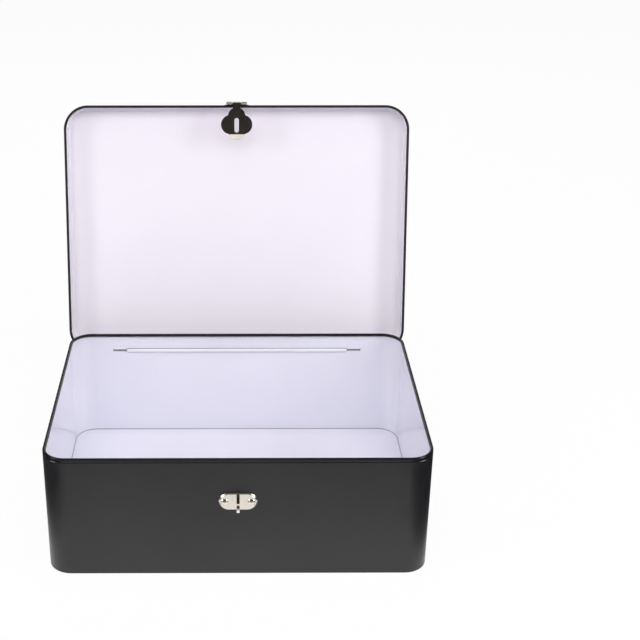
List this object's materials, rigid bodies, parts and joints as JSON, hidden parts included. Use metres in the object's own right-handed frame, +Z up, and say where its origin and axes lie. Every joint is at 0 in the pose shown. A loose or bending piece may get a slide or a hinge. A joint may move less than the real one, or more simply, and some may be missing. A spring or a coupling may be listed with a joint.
{
  "type": "lockable storage box",
  "caption": "Lockable sheet-metal storage box with a wire-hinged pan lid, a hasp with a swinging strap, a staple and a small padlock.",
  "frame": {"origin": "centre of the base, on the surface that the box stands on", "axes": "+Z up, +X to the right of the box seen from its front, and the front with the staple looks along -Y"},
  "size_m": [0.3262, 0.319, 0.3262],
  "materials": {
    "black_lacquer": "satin black lacquer outside, with pale lavender lacquer inside",
    "lavender_lacquer": "glossy pale lavender lacquer",
    "hinge_steel": "plain drawn wire",
    "pale_nickel": "polished pale champagne plating",
    "padlock_plate": "satin pale gold plating",
    "padlock_steel": "polished"
  },
  "bodies": {
    "box": {"body_wall": "black_lacquer", "bottom_panel": "lavender_lacquer", "hinge_wire": "hinge_steel", "staple_plate": "pale_nickel", "staple_eye": "pale_nickel", "staple_rivets": "pale_nickel"},
    "lid": {"lid_shell": "black_lacquer", "hasp_leaf": "pale_nickel", "hasp_rivets": "pale_nickel"},
    "hasp_pin": {"hasp_pin": "pale_nickel"},
    "hasp_strap": {"hasp_strap": "pale_nickel"},
    "padlock": {"padlock_case": "padlock_plate"},
    "shackle": {"padlock_shackle": "padlock_steel"},
    "core": {"padlock_core": "padlock_steel"}
  },
  "joints": [
    {"name": "lid_hinge", "type": "hinge", "parent": "box", "child": "lid", "pos_m": [0, 0.11635, 0.0934], "axis": [1, 0, 0], "range_deg": [0, 103.4]},
    {"name": "hasp_flip", "type": "hinge", "parent": "lid", "child": "hasp_pin", "pos_m": [0, 0.1708, 0.32499], "axis": [-1, 0, 0], "range_deg": [-25.5, 100]},
    {"name": "hasp_hang", "type": "hinge", "parent": "hasp_pin", "child": "hasp_strap", "pos_m": [0, 0.1708, 0.32499], "axis": [1, 0, 0], "range_deg": [-103.4, 0]},
    {"name": "padlock_lift", "type": "slide", "parent": "box", "child": "padlock", "axis": [0, 0, 1], "range_m": [0, 0.08]},
    {"name": "shackle_slide", "type": "slide", "parent": "padlock", "child": "shackle", "axis": [0, 1, 0], "range_m": [0, 0.006]},
    {"name": "core_turn", "type": "hinge", "parent": "padlock", "child": "core", "pos_m": [0.062, -0.062, 0.0094], "axis": [0, 1, 0], "range_deg": [0, 90]}
  ],
  "couplings": [
    {"joint": "hasp_hang", "follows": "lid_hinge", "ratio": -1}
  ]
}
